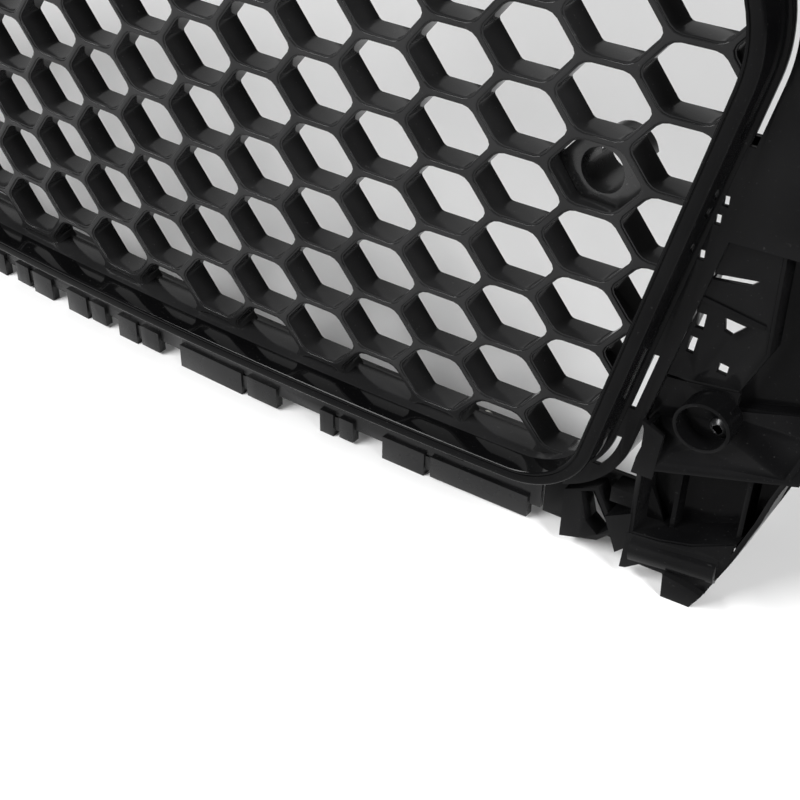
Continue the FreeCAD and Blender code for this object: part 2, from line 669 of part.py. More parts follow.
def polygon_in(sketch, points):
    first = sketch.GeometryCount
    for a, b in zip(points, points[1:] + points[:1]):
        sketch.addGeometry(Part.LineSegment(Vector(a[0], a[1], 0), Vector(b[0], b[1], 0)), False)
    count = len(points)
    for i in range(count):
        here, there = first + i, first + (i + 1) % count
        sketch.addConstraint(Sketcher.Constraint("Coincident", here, 2, there, 1))


def pad(body, sketch, name, length, reverse=False):
    made = body.newObject("PartDesign::Pad", name)
    made.Profile = sketch
    bind(made, "Length", length)
    made.Reversed = reverse
    return made


def pocket(body, sketch, name, length, reverse=False):
    made = body.newObject("PartDesign::Pocket", name)
    made.Profile = sketch
    bind(made, "Length", length)
    made.Reversed = reverse
    return made


def hexagon(grow):
    half = size("cell_half") + grow
    flat = size("cell_flat_half") + grow / 2
    tall = size("cell_half_height") + grow
    return [(half, 0), (flat, tall), (-flat, tall), (-half, 0), (-flat, -tall), (flat, -tall)]


def make_sensor_holder(label, side):
    """Six-sided plug that fills one cell, with a round collar for a parking sensor."""
    body = doc.addObject("PartDesign::Body", label)
    plug = sketch_on(body, "XZ_Plane", "plug_outline")
    polygon_in(plug, hexagon(-0.4))
    pad(body, plug, "plug", "5", reverse=True)
    collar = sketch_on(body, "XZ_Plane", "collar_circle")
    circle_in(collar, "collar_size")
    pad(body, collar, "collar", "collar_depth", reverse=True)
    bore = sketch_on(body, "XZ_Plane", "bore_circle")
    circle_in(bore, "sensor_bore")
    pocket(body, bore, "bore", "collar_depth + 1", reverse=False)
    slots = sketch_on(body, "XY_Plane", "latch_slots")
    depth = size("collar_depth")
    reach = size("collar_size") + 1
    polygon_in(slots, [(-reach, depth - 8), (reach, depth - 8), (reach, depth + 1), (-reach, depth + 1)])
    cutter = pocket(body, slots, "latch_slot", "5")
    cutter.Midplane = True
    z = size("first_row_z") + 4.5 * size("row_pitch")
    x = side * size("sensor_x")
    body.Placement = Placement(Vector(x, bow_y(size("sensor_x"), 1), z), Rotation())
    doc.recompute()
    part(label, body)


# ---------------------------------------------------------------- fasteners

def screw_body(name, shank, head, high, length, slot):
    """A pan-head screw that points along -y, its head's seat at the origin."""
    body = doc.addObject("PartDesign::Body", name)
    profile = sketch_on(body, "XY_Plane", name + "_profile")
    r, h = value_of(head), value_of(high)
    s, l = value_of(shank), value_of(length)
    points = [(0, h), (r * 0.55, h), (r, h * 0.45), (r, 0), (s, 0), (s, -l + s), (s * 0.3, -l), (0, -l)]
    polygon_in(profile, points)
    turn = body.newObject("PartDesign::Revolution", name + "_turn")
    turn.Profile = profile
    turn.ReferenceAxis = (next(f for f in body.Origin.OriginFeatures if f.Role == "Y_Axis"), [""])
    turn.Angle = 360
    cross = sketch_on(body, "XZ_Plane", name + "_cross")
    w, a = slot
    polygon_in(cross, [(w, w), (w, a), (-w, a), (-w, w), (-a, w), (-a, -w), (-w, -w), (-w, -a),
                       (w, -a), (w, -w), (a, -w), (a, w)])
    cross.AttachmentOffset = Placement(Vector(0, 0, -h - 0.1), Rotation())
    recess = pocket(body, cross, name + "_recess", f"{high} * 0.7", reverse=True)
    doc.recompute()
    return body


def copies(label, source, spots):
    """Separate copies of one piece, as one node: each spot is (x, y, z)."""
    shapes = []
    for spot in spots:
        shape = source.Shape.copy()
        shape.Placement = Placement(Vector(*spot), Rotation()).multiply(source.Placement)
        shapes.append(shape)
    group = doc.addObject("Part::Feature", label)
    group.Shape = Part.makeCompound(shapes)
    part(label, group)


def make_screws():
    clamp = screw_body("clamp_screw", "screw_shank", "screw_head", "screw_head_high",
                       "screw_length", (0.45, 1.7))
    seat = size("clamp_back") + 0.15
    for label, spots in (("lower_screws", lower_spots), ("upper_screws", upper_spots),
                         ("side_screws_left", left_spots), ("side_screws_right", right_spots)):
        copies(label, clamp, [(x, bow_y(abs(x), seat), z) for x, z in spots])
    wide = screw_body("boss_screw", "boss_shank", "4.6", "3", "boss_screw_length", (0.7, 2.4))
    nut = boss_nut_body()
    x, z = size("boss_screw_x"), size("boss_screw_z")
    for side, word in ((-1, "left"), (1, "right")):
        seat = Vector(side * x, bow_y(x, size("boss_floor") - 0.15), z)
        placed(f"boss_screw_{word}", wide, Placement(seat, Rotation(Vector(0, 0, 1), 180)))
        back = Vector(side * x, bow_y(x, size("wing_back") + 0.6), z)
        placed(f"boss_nut_{word}", nut, Placement(back, Rotation()))


def placed(label, source, placement):
    """One copy of a finished body, moved into place."""
    made = doc.addObject("Part::Feature", label)
    shape = source.Shape.copy()
    shape.Placement = placement
    made.Shape = shape
    part(label, made)


def boss_nut_body():
    """Six-sided nut with a flange, its seat at the origin, pointing along +y."""
    body = doc.addObject("PartDesign::Body", "boss_nut")
    flange = sketch_on(body, "XZ_Plane", "nut_flange_circle")
    circle_in(flange, "6.2")
    pad(body, flange, "nut_flange", "1.2", reverse=True)
    six = sketch_on(body, "XZ_Plane", "nut_six_sides")
    corners = [(4.6 * math.cos(i * math.pi / 3), 4.6 * math.sin(i * math.pi / 3)) for i in range(6)]
    polygon_in(six, corners)
    pad(body, six, "nut_block", "4.4", reverse=True)
    bore = sketch_on(body, "XZ_Plane", "nut_bore")
    circle_in(bore, "boss_shank + 0.05")
    pocket(body, bore, "nut_thread_bore", "6")
    doc.recompute()
    return body


def nut_body(name, thick, back):
    """U-shaped spring nut: two leaves joined by a bend, open towards -y."""
    body = doc.addObject("PartDesign::Body", name)
    profile = sketch_on(body, "YZ_Plane", name + "_profile")
    t, half = size("nut_sheet"), size("nut_half")
    gap = thick / 2 + 0.15
    points = [(-half, gap), (back + 0.2, gap), (back + 0.2, -gap), (-half, -gap),
              (-half, -gap - t), (back + 0.2 + t, -gap - t), (back + 0.2 + t, gap + t), (-half, gap + t)]
    polygon_in(profile, points)
    leaf = pad(body, profile, name + "_leaves", "2 * nut_half")
    leaf.Midplane = True
    hole = sketch_on(body, "XY_Plane", name + "_hole")
    circle_in(hole, "bolt_hole_size + 0.4")
    through = pocket(body, hole, name + "_through", "12")
    through.Midplane = True
    doc.recompute()
    return body


def make_spring_nuts():
    """Spring nuts on the top tabs and on both wings' outer edges."""
    edge = size("top_tab_y") - size("top_hole_y")
    nut = nut_body("spring_nut", size("top_shelf_thick"), edge)
    z = size("top_shelf_z") + size("top_shelf_thick") / 2
    spots = [(x, size("top_hole_y"), z) for x in (-300, -100, 100, 300)]
    copies("spring_nuts_upper", nut, spots)


def make_bump_stops():
    """Rubber stops pushed into the top shelf."""
    for label, side in (("bump_stop_left", -1), ("bump_stop_right", 1)):
        body = doc.addObject("PartDesign::Body", label)
        profile = sketch_on(body, "XZ_Plane", label + "_profile")
        thick = size("top_shelf_thick")
        points = [(0, 9), (5, 9), (8, 6), (8, 0.1), (3.9, 0.1), (3.9, -thick - 0.2),
                  (5.2, -thick - 0.2), (4, -thick - 3), (0, -thick - 3)]
        polygon_in(profile, points)
        turn = body.newObject("PartDesign::Revolution", label + "_turn")
        turn.Profile = profile
        turn.ReferenceAxis = (next(f for f in body.Origin.OriginFeatures if f.Role == "Z_Axis"), [""])
        turn.Angle = 360
        z = size("top_shelf_z") + thick
        body.Placement = Placement(Vector(side * STOP_X, STOP_Y, z), Rotation())
        part(label, body)


# ---------------------------------------------------------------- build, check and write

make_trim_ring()
make_honeycomb()
make_lower_carrier()
make_upper_carrier()
right_bracket = make_bracket()
make_left_bracket(right_bracket)
make_sensor_holder("sensor_holder_left", -1)
make_sensor_holder("sensor_holder_right", 1)
make_screws()
make_spring_nuts()
make_bump_stops()
doc.recompute()

faults = [o.Name for o in doc.Objects if {"Invalid", "Error"} & set(o.State)]
if faults:
    raise SystemExit(f"these objects failed: {faults}")
for piece in finished:
    shape = piece.Shape
    if shape.isNull() or not shape.isValid() or not shape.Solids:
        raise SystemExit(f"{piece.Label} has no valid solid")
    print(f"{piece.Label}: {len(shape.Solids)} solids, {shape.Volume / 1000:.1f} cm3, "
          f"box {shape.BoundBox}")
    shape.exportStep(f"parts/{piece.Label}.step")
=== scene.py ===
# %% [markdown]
# # A car's front grille, from a imported frame to a finished picture
#
# The real object is a black plastic grille: a honeycomb moulding held by a polished surround,
# with plain carriers and brackets behind it that nobody sees once the car is built. The packed
# frame already holds every piece at its real size, so each piece here either replaces a node with
# a finer one or gives the node a rounded edge and a real finish.

# %% The frame
import math

import bmesh
import bpy
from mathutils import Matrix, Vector


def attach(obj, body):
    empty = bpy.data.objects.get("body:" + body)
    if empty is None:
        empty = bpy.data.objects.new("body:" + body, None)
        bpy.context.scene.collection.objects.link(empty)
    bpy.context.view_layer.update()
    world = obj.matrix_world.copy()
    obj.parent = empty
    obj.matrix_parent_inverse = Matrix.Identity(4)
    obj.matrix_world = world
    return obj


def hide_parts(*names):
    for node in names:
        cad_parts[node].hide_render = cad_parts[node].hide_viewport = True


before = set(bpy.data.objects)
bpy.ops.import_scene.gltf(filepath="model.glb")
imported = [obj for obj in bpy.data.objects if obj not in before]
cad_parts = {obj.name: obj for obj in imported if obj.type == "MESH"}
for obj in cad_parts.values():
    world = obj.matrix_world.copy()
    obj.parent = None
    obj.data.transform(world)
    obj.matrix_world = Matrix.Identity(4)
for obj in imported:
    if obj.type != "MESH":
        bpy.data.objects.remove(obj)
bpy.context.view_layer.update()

print("nodes:", sorted(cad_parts))

# %% [markdown]
# ## Working as by hand
#
# Operators act on whatever is selected, so every step starts by dropping the old selection and
# picking what it needs. In edit mode, corners and faces are picked by where they are, with a
# short test, because their numbers change with every step.

# %% Picking objects, corners and faces
MM = 0.001


def drop_selection():
    if bpy.context.object and bpy.context.object.mode == "EDIT":
        bpy.ops.object.mode_set(mode="OBJECT")
    bpy.ops.object.select_all(action="DESELECT")


def pick(piece):
    """Makes one object the only selected one, and the active one."""
    drop_selection()
    piece.select_set(True)
    bpy.context.view_layer.objects.active = piece
    return piece


def open_mesh(piece, mode="VERT"):
    """Goes into edit mode with nothing selected."""
    pick(piece)
    bpy.ops.object.mode_set(mode="EDIT")
    bpy.ops.mesh.select_mode(type=mode)
    bpy.ops.mesh.select_all(action="DESELECT")


def choose(piece, kind, test):
    """In edit mode, selects the verts or faces whose place passes the test, and counts them."""
    bpy.ops.mesh.select_all(action="DESELECT")
    bpy.ops.mesh.select_mode(type=kind)
    chosen = 0
    mesh = bmesh.from_edit_mesh(piece.data)
    items = mesh.verts if kind == "VERT" else mesh.faces
    for item in items:
        place = item.co if kind == "VERT" else item.calc_center_median()
        if test(place, item):
            item.select_set(True)
            chosen += 1
    mesh.select_flush_mode()
    bmesh.update_edit_mesh(piece.data)
    return chosen


def apply_modifier(piece, kind, **settings):
    """Adds a modifier, sets it and applies it."""
    pick(piece)
    modifier = piece.modifiers.new(kind.title(), kind)
    for key, value in settings.items():
        setattr(modifier, key, value)
    bpy.ops.object.modifier_apply(modifier=modifier.name)


def smooth(piece, degrees=32):
    pick(piece)
    bpy.ops.object.shade_smooth_by_angle(angle=math.radians(degrees))


def report(piece):
    piece.data.calc_loop_triangles()
    print(f"{piece.name}: {len(piece.data.vertices)} corners, {len(piece.data.loop_triangles)} triangles")


# %% [markdown]
# ## The camera
#
# A grille this wide is looked at from in front, from its right-hand side and from above. The lens
# is a short telephoto, held by hand, so it is rolled by a little more than a degree.

# %% Camera
bpy.ops.object.camera_add(location=(0.59936, -0.47274, 0.49883))
camera = bpy.context.object
looking = Vector((-0.47195, 0.62643, -0.62036))
camera.rotation_euler = looking.to_track_quat("-Z", "Y").to_euler()
camera.rotation_euler.rotate_axis("Z", math.radians(1.2))
camera.data.lens = 63.95
camera.data.sensor_width = 36
camera.data.shift_x = camera.data.shift_y = 0.0019
camera.data.clip_start = 0.02
bpy.context.scene.camera = camera
print("camera at", tuple(round(c, 3) for c in camera.location))

# %% [markdown]
# ## Black plastic
#
# Black plastic shows almost nothing of its own colour: what is seen is the room in its surface.
# So its finish is made of small things: a polished part has a slight orange-peel ripple, faint
# wiping scratches and dust, a moulded part is a little duller and greyer, and a hidden part has
# a fine spark-eroded grain. Edges are rubbed slightly lighter on all of them.

# %% A helper that makes a plastic or metal finish
def add(tree, kind, **inputs):
    """Adds a shader node and sets its inputs by name."""
    node = tree.nodes.new(kind)
    for key, value in inputs.items():
        if hasattr(node, key):
            setattr(node, key, value)
        else:
            node.inputs[key.replace("_", " ")].default_value = value
    return node


# the colour mixing node's sockets: how far it mixes, its two colours, and its result
MIX_HOW_FAR, MIX_FIRST, MIX_SECOND, MIX_RESULT = 0, 6, 7, 2
DUST_COLOUR = (0.35, 0.35, 0.34, 1)


def finish_of(name, dark, light, rough, grain, ripple=0.0, dust=0.0, metallic=0.0,
              stretch=(1, 1, 1), grain_size=900.0, wear=0.12, specular=0.5):
    """A procedural finish: two close colours, a roughness range, grain, ripple, dust and wear."""
    material = bpy.data.materials.new(name)
    material.use_nodes = True
    tree = material.node_tree
    tree.nodes.clear()
    output = add(tree, "ShaderNodeOutputMaterial")
    shader = add(tree, "ShaderNodeBsdfPrincipled")
    tree.links.new(shader.outputs["BSDF"], output.inputs["Surface"])
    shader.inputs["Metallic"].default_value = metallic
    shader.inputs["Specular IOR Level"].default_value = specular
    place = add(tree, "ShaderNodeTexCoord")
    turn = add(tree, "ShaderNodeMapping")
    turn.inputs["Scale"].default_value = stretch
    tree.links.new(place.outputs["Object"], turn.inputs["Vector"])

    def noise(scale, detail=3.0):
        node = add(tree, "ShaderNodeTexNoise", Scale=scale, Detail=detail)
        tree.links.new(turn.outputs["Vector"], node.inputs["Vector"])
        return node.outputs["Fac"]

    def ramp(source, low, high, start, end):
        node = add(tree, "ShaderNodeMapRange")
        node.inputs["From Min"].default_value = low
        node.inputs["From Max"].default_value = high
        node.inputs["To Min"].default_value = start
        node.inputs["To Max"].default_value = end
        tree.links.new(source, node.inputs["Value"])
        return node.outputs["Result"]

    patches = ramp(noise(23.0), 0.35, 0.7, 0.0, 1.0)
    colour = add(tree, "ShaderNodeMix", data_type="RGBA")
    tree.links.new(patches, colour.inputs[MIX_HOW_FAR])
    colour.inputs[MIX_FIRST].default_value = (*dark, 1)
    colour.inputs[MIX_SECOND].default_value = (*light, 1)
    edges = ramp(add(tree, "ShaderNodeNewGeometry").outputs["Pointiness"], 0.53, 0.62, 0.0, wear)
    worn = add(tree, "ShaderNodeMix", data_type="RGBA")
    worn.inputs[MIX_SECOND].default_value = (*[min(1.0, c * 3 + 0.09) for c in light], 1)
    tree.links.new(edges, worn.inputs[MIX_HOW_FAR])
    tree.links.new(colour.outputs[MIX_RESULT], worn.inputs[MIX_FIRST])
    specks = ramp(noise(640.0, 2.0), 0.68, 0.78, 0.0, dust)
    dusty = add(tree, "ShaderNodeMix", data_type="RGBA")
    dusty.inputs[MIX_SECOND].default_value = DUST_COLOUR
    tree.links.new(specks, dusty.inputs[MIX_HOW_FAR])
    tree.links.new(worn.outputs[MIX_RESULT], dusty.inputs[MIX_FIRST])
    tree.links.new(dusty.outputs[MIX_RESULT], shader.inputs["Base Color"])
    smear = ramp(noise(70.0, 5.0), 0.35, 0.7, rough[0], rough[1])
    tree.links.new(smear, shader.inputs["Roughness"])
    height = add(tree, "ShaderNodeMath", operation="MULTIPLY_ADD")
    tree.links.new(noise(grain_size, 2.0), height.inputs[0])
    height.inputs[1].default_value = grain
    wave = add(tree, "ShaderNodeMath", operation="MULTIPLY")
    tree.links.new(noise(38.0, 1.0), wave.inputs[0])
    wave.inputs[1].default_value = ripple
    tree.links.new(wave.outputs[0], height.inputs[2])
    bump = add(tree, "ShaderNodeBump", Strength=1.0, Distance=0.001)
    tree.links.new(height.outputs[0], bump.inputs["Height"])
    tree.links.new(bump.outputs["Normal"], shader.inputs["Normal"])
    return material


# %% The finishes of this grille
piano_black = finish_of("piano_black", (0.002, 0.002, 0.0022), (0.0035, 0.0035, 0.0037), (0.05, 0.12),
                        grain=0.004, ripple=0.05, dust=0.04, specular=0.05, wear=0.02)
honeycomb_black = finish_of("honeycomb_black", (0.010, 0.010, 0.0103), (0.016, 0.016, 0.0164),
                            (0.10, 0.19), grain=0.008, ripple=0.05, dust=0.05, specular=0.12, wear=0.05)
carrier_black = finish_of("carrier_black", (0.005, 0.005, 0.0053), (0.010, 0.010, 0.0104),
                          (0.22, 0.36), grain=0.02, ripple=0.08, dust=0.08, specular=0.22, wear=0.08)
bracket_black = finish_of("bracket_black", (0.0025, 0.0025, 0.0027), (0.005, 0.005, 0.0053),
                          (0.10, 0.20), grain=0.010, ripple=0.10, dust=0.04, specular=0.04, wear=0.03)
holder_black = finish_of("holder_black", (0.006, 0.006, 0.0063), (0.011, 0.011, 0.0113),
                         (0.24, 0.38), grain=0.03, ripple=0.03, dust=0.10, specular=0.35, wear=0.08)
zinc = finish_of("zinc", (0.48, 0.48, 0.46), (0.60, 0.59, 0.54), (0.28, 0.46), grain=0.02,
                 metallic=1.0, dust=0.05, wear=0.3, grain_size=1400)
black_zinc = finish_of("black_zinc", (0.02, 0.02, 0.021), (0.045, 0.045, 0.046), (0.25, 0.42),
                       grain=0.02, metallic=0.6, dust=0.06, wear=0.5, grain_size=1400)
spring_steel = finish_of("spring_steel", (0.16, 0.155, 0.15), (0.28, 0.27, 0.26), (0.3, 0.5),
                         grain=0.03, metallic=1.0, dust=0.05, wear=0.4, stretch=(1, 6, 1))
stop_rubber = finish_of("stop_rubber", (0.012, 0.012, 0.012), (0.022, 0.022, 0.021), (0.55, 0.75),
                        grain=0.05, dust=0.25, wear=0.1, specular=0.3)
print("finishes:", [m.name for m in bpy.data.materials])


def dress(piece, material, node):
    """Gives a piece its finish, puts it on the frame and hides the node that it stands for."""
    piece.data.materials.clear()
    piece.data.materials.append(material)
    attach(piece, "root")
    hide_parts(node)


# %% [markdown]
# ## The outline and the bow
#
# The surround, the honeycomb's rim and all that follows them share one outline: a straight bottom,
# a leaning side, a straight top, and three corner arcs a side that touch them. A section is drawn
# once at the middle of the bottom, then pulled along the straights and spun round the arcs' centres,
# which keeps its shape true. Half is made and mirrored. The bow comes last: a lattice pushes
# everything back by the amount that a large circle falls away from its tangent.

# %% The outline's corner arcs, and the angles between them
ARCS = ((332.5, 88.0, 34.0), (349.5, 283.6, 60.0), (346.5, 327.0, 45.0))
ARCS = tuple((x * MM, z * MM, r * MM) for x, z, r in ARCS)


def line_angle(arc, following):
    """The direction that the line between two arcs faces, in radians from +X towards +Z."""
    dx, dz = following[0] - arc[0], following[1] - arc[1]
    lean = math.asin((arc[2] - following[2]) / math.hypot(dx, dz))
    return math.atan2(dz, dx) - math.pi / 2 + lean


FACING = (-math.pi / 2, line_angle(ARCS[0], ARCS[1]), line_angle(ARCS[1], ARCS[2]), math.pi / 2)
print("the sides face", [round(math.degrees(a), 2) for a in FACING], "degrees")

# %% Drawing a section and sweeping it
BOTTOM_Z = ARCS[0][1] - ARCS[0][2]


def draw_section(name, points):
    """A line of corners at x = 0. Each point is (distance outside the opening, depth)."""
    drop_selection()
    bpy.ops.mesh.primitive_plane_add(size=MM, location=(0, 0, 0))
    piece = bpy.context.object
    piece.name = name
    bpy.ops.object.mode_set(mode="EDIT")
    bpy.ops.mesh.select_all(action="SELECT")
    bpy.ops.mesh.merge(type="CENTER")
    places = [Vector((0, depth * MM, BOTTOM_Z - out * MM)) for out, depth in points]
    bpy.ops.transform.translate(value=places[0])
    for here, there in zip(places, places[1:]):
        bpy.ops.mesh.extrude_vertices_move(TRANSFORM_OT_translate={"value": there - here})
    ends = (places[0], places[-1])
    choose(piece, "VERT", lambda co, v: any((co - end).length < 1e-7 for end in ends))
    bpy.ops.mesh.edge_face_add()
    return piece


def round_section(piece, corners, size, steps):
    """Rounds the section at those (out, depth) points."""
    places = [Vector((0, depth * MM, BOTTOM_Z - out * MM)) for out, depth in corners]
    choose(piece, "VERT", lambda co, v: any((co - p).length < 1e-6 for p in places))
    bpy.ops.mesh.bevel(offset=size * MM, segments=steps, affect="VERTICES")


ARC_STEPS = (14, 8, 12)
STRAIGHT_STEPS = 26
LEANING_STEP = 0.04


def sweep(piece):
    """Pulls the open section along the bottom, round the three arcs and back along the top."""
    bpy.ops.mesh.select_all(action="SELECT")
    here = Vector((0, 0, BOTTOM_Z))

    def pull(vector, count):
        for _ in range(count):
            bpy.ops.mesh.extrude_region_move(TRANSFORM_OT_translate={"value": vector / count})

    for i, (x, z, radius) in enumerate(ARCS):
        facing = Vector((math.cos(FACING[i]), 0, math.sin(FACING[i])))
        start = Vector((x, 0, z)) + facing * radius
        gap = start - here
        pull(gap, STRAIGHT_STEPS if i == 0 else max(1, round(gap.length / LEANING_STEP)))
        bpy.ops.mesh.spin(steps=ARC_STEPS[i], angle=FACING[i + 1] - FACING[i], center=(x, 0, z),
                          axis=(0, 1, 0))
        facing = Vector((math.cos(FACING[i + 1]), 0, math.sin(FACING[i + 1])))
        here = Vector((x, 0, z)) + facing * radius
    pull(Vector((0, 0, here.z)) - here, STRAIGHT_STEPS)
    bpy.ops.mesh.select_all(action="SELECT")
    bpy.ops.mesh.remove_doubles(threshold=1e-6)
    bpy.ops.object.mode_set(mode="OBJECT")
    apply_modifier(piece, "MIRROR", use_clip=True, merge_threshold=1e-5)
    open_mesh(piece)
    bpy.ops.mesh.select_all(action="SELECT")
    bpy.ops.mesh.normals_make_consistent(inside=False)
    bpy.ops.object.mode_set(mode="OBJECT")


# %% The bow
BOW_RADIUS = 2.93
APEX_Y = -0.026


def sag(x):
    """How far the bow falls back at that x."""
    return BOW_RADIUS - math.sqrt(BOW_RADIUS ** 2 - x * x)


bpy.ops.object.select_all(action="DESELECT")
bpy.ops.object.add(type="LATTICE", location=(0, 0, 0.2))
bow = bpy.context.object
bow.name = "bow"
bow.scale = (1.0, 0.2, 0.6)
bow.data.points_u, bow.data.points_v, bow.data.points_w = 64, 2, 2
for axis in "uvw":
    setattr(bow.data, f"interpolation_type_{axis}", "KEY_LINEAR")
for point in bow.data.points:
    point.co_deform.y += (sag(point.co.x * bow.scale.x) + APEX_Y) / bow.scale.y
print(f"the bow falls back {sag(0.4) * 1000:.1f} mm at x = 400 mm")


def bend(piece):
    """Lays a flat-made piece on the bow."""
    apply_modifier(piece, "LATTICE", object=bow)


# %% [markdown]
# ## The surround
#
# The surround is the only part with a true piano finish. It is a channel that opens to the back, with
# a fine groove beside its inner edge and generous rounds on its front corners, so that a long
# highlight runs all the way round. The outer wall ends in a narrow flange that covers the gap to the
# brackets.

# %% Surround
INNER_EDGE = [(0, -11), (0, -23.4), (0.6, -24), (1.5, -24)]
GROOVE = [(1.5, -23.4), (2.1, -23.4), (2.1, -24)]
OUTER_WALL_AND_FLANGE = [(7.4, -24), (7.4, -6.7), (9.1, -6.7), (9.1, -6), (5.6, -6)]
CHANNEL = [(5.6, -21.4), (1.8, -21.4), (1.8, -11)]
surround = draw_section("surround", INNER_EDGE + GROOVE + OUTER_WALL_AND_FLANGE + CHANNEL)
round_section(surround, [(7.4, -24)], 1.5, 4)
round_section(surround, [(0.6, -24), (1.5, -24), (2.1, -24)], 0.25, 2)
round_section(surround, [(0, -11), (1.8, -11)], 0.4, 2)
round_section(surround, [(9.1, -6.7), (9.1, -6), (5.6, -6)], 0.3, 2)
sweep(surround)
bend(surround)
smooth(surround, 40)
dress(surround, piano_black, "trim_ring")
report(surround)

# %% [markdown]
# ## The honeycomb
#
# The honeycomb is moulded in one piece. Every opening has six sides with round corners. At the front
# its edge steps in: a narrow front face, a small round, a shallow ledge, a smaller round, and then
# the wall, which tapers so that the moulding leaves its mould. One cell is made with half of each
# wall round it, and arrays lay it out in two sets of columns, half a row apart.

# %% One cell
COLUMN, ROW = 35 * MM, 33.73 * MM
TILE_X, TILE_FLAT = 24.09 * MM, 10.91 * MM
FRONT, BACK = -6 * MM, 9.4 * MM
# six corners, each of which a two-step bevel turns into three
ROUNDED_CORNERS = 18
# the lip's section from the front face to the wall, as pairs of inwards and back in millimetres:
# a round, a ledge and a smaller round
LIP_STEPS = ((0.24, 0.05), (0.2, 0.14), (0.14, 0.2), (0.05, 0.24), (0.42, 0.04), (0.2, 0.08),
             (0.08, 0.2))


def make_cell():
    """One opening with its lip and walls, and half of the front face round it."""
    drop_selection()
    bpy.ops.mesh.primitive_circle_add(vertices=6, radius=1, fill_type="NGON",
                                      location=(0, FRONT, 0), rotation=(math.pi / 2, 0, 0))
    cell = bpy.context.object
    cell.name = "honeycomb"
    cell.rotation_euler.rotate_axis("Z", math.pi / 6)
    cell.scale = (1, 1, 1)
    bpy.ops.object.transform_apply(location=True, rotation=True, scale=True)
    bpy.ops.object.mode_set(mode="EDIT")
    bpy.ops.mesh.select_all(action="SELECT")
    tall = ROW / 2 / math.sin(math.pi / 3)
    bpy.ops.transform.resize(value=(TILE_X, 1, tall))
    for side in (1, -1):
        choose(cell, "VERT", lambda co, v: abs(co.z) > 0.4 * ROW and co.x * side > 0)
        bpy.ops.transform.translate(value=(side * (TILE_FLAT - TILE_X / 2), 0, 0))
    bpy.ops.mesh.select_all(action="SELECT")
    bpy.ops.mesh.extrude_region_move(TRANSFORM_OT_translate={"value": (0, BACK - FRONT, 0)})
    bpy.ops.mesh.select_all(action="SELECT")
    bpy.ops.mesh.normals_make_consistent(inside=False)
    choose(cell, "FACE", lambda co, f: abs(f.normal.y) < 0.5)
    bpy.ops.mesh.delete(type="ONLY_FACE")
    bpy.ops.mesh.select_all(action="SELECT")
    bpy.ops.mesh.delete_loose(use_verts=False, use_edges=True, use_faces=False)
    shape_opening(cell, -1, edge=0.7, corner=3.6)
    for inwards, back in LIP_STEPS:
        bpy.ops.mesh.inset(thickness=inwards * MM, depth=-back * MM)
    shape_opening(cell, 1, edge=1.3, corner=1.2)
    choose(cell, "FACE", lambda co, f: len(f.verts) == ROUNDED_CORNERS)
    bpy.ops.mesh.bridge_edge_loops()
    bpy.ops.object.mode_set(mode="OBJECT")
    return cell


def shape_opening(cell, side, edge, corner):
    """Insets the front (-1) or back (1) face and rounds the inner face's corners."""
    choose(cell, "FACE", lambda co, f: f.normal.y * side > 0.5)
    bpy.ops.mesh.inset(thickness=edge * MM)
    inner = [v.co.copy() for f in bmesh.from_edit_mesh(cell.data).faces if f.select for v in f.verts]
    choose(cell, "VERT", lambda co, v: any((co - place).length < 1e-7 for place in inner))
    bpy.ops.mesh.bevel(offset=corner * MM, segments=2, affect="VERTICES")
    choose(cell, "FACE", lambda co, f: len(f.verts) == ROUNDED_CORNERS and f.normal.y * side > 0.5)


honeycomb = make_cell()
report(honeycomb)

# %% [markdown]
# ### Laying out the cells
#
# Two arrays make one set of columns, and a copy moved by half a row and one column makes the other
# set. Where cells touch, their corners merge, so the walls are closed all over. The outline is
# convex, so it is cut out with one flat cut for each straight side and a few for each round corner.

# %% Array, cut to the outline, and close the cut ends
FIRST_ROW_Z = 57.1 * MM
CUT_OUT = 0.9


def lay_out(cell, x, z, columns, rows):
    """Copies a cell into a block of every second column."""
    pick(cell)
    bpy.ops.object.duplicate()
    block = bpy.context.object
    bpy.ops.transform.translate(value=(x, 0, z))
    bpy.ops.object.transform_apply(location=True)
    for count, step in ((rows, (0, 0, ROW)), (columns, (2 * COLUMN, 0, 0))):
        apply_modifier(block, "ARRAY", count=count, use_relative_offset=False, use_constant_offset=True,
                       constant_offset_displace=step, use_merge_vertices=True, merge_threshold=1e-5)
    return block


odd = lay_out(honeycomb, -11 * COLUMN, FIRST_ROW_Z - ROW, 12, 12)
even = lay_out(honeycomb, -12 * COLUMN, FIRST_ROW_Z - ROW / 2, 13, 11)
bpy.data.objects.remove(honeycomb)
pick(odd)
even.select_set(True)
bpy.ops.object.join()
honeycomb = bpy.context.object
honeycomb.name = "honeycomb"
open_mesh(honeycomb)
bpy.ops.mesh.select_all(action="SELECT")
bpy.ops.mesh.remove_doubles(threshold=1e-5)


def cut_outside(piece, out, corner_step=9.0):
    """Cuts a mesh to the outline, moved outwards by out."""
    for side in (1, -1):
        for i, (x, z, radius) in enumerate(ARCS):
            turn = FACING[i + 1] - FACING[i]
            steps = max(1, round(math.degrees(turn) / corner_step))
            for k in range(steps + 1):
                angle = FACING[i] + turn * k / steps
                facing = Vector((side * math.cos(angle), 0, math.sin(angle)))
                place = Vector((side * x, 0, z)) + facing * (radius + out * MM)
                near = choose(piece, "VERT", lambda co, v: (co - place).dot(facing) > -0.05)
                if near:
                    bpy.ops.mesh.select_mode(type="FACE")
                    bpy.ops.mesh.bisect(plane_co=place, plane_no=facing, clear_outer=True)


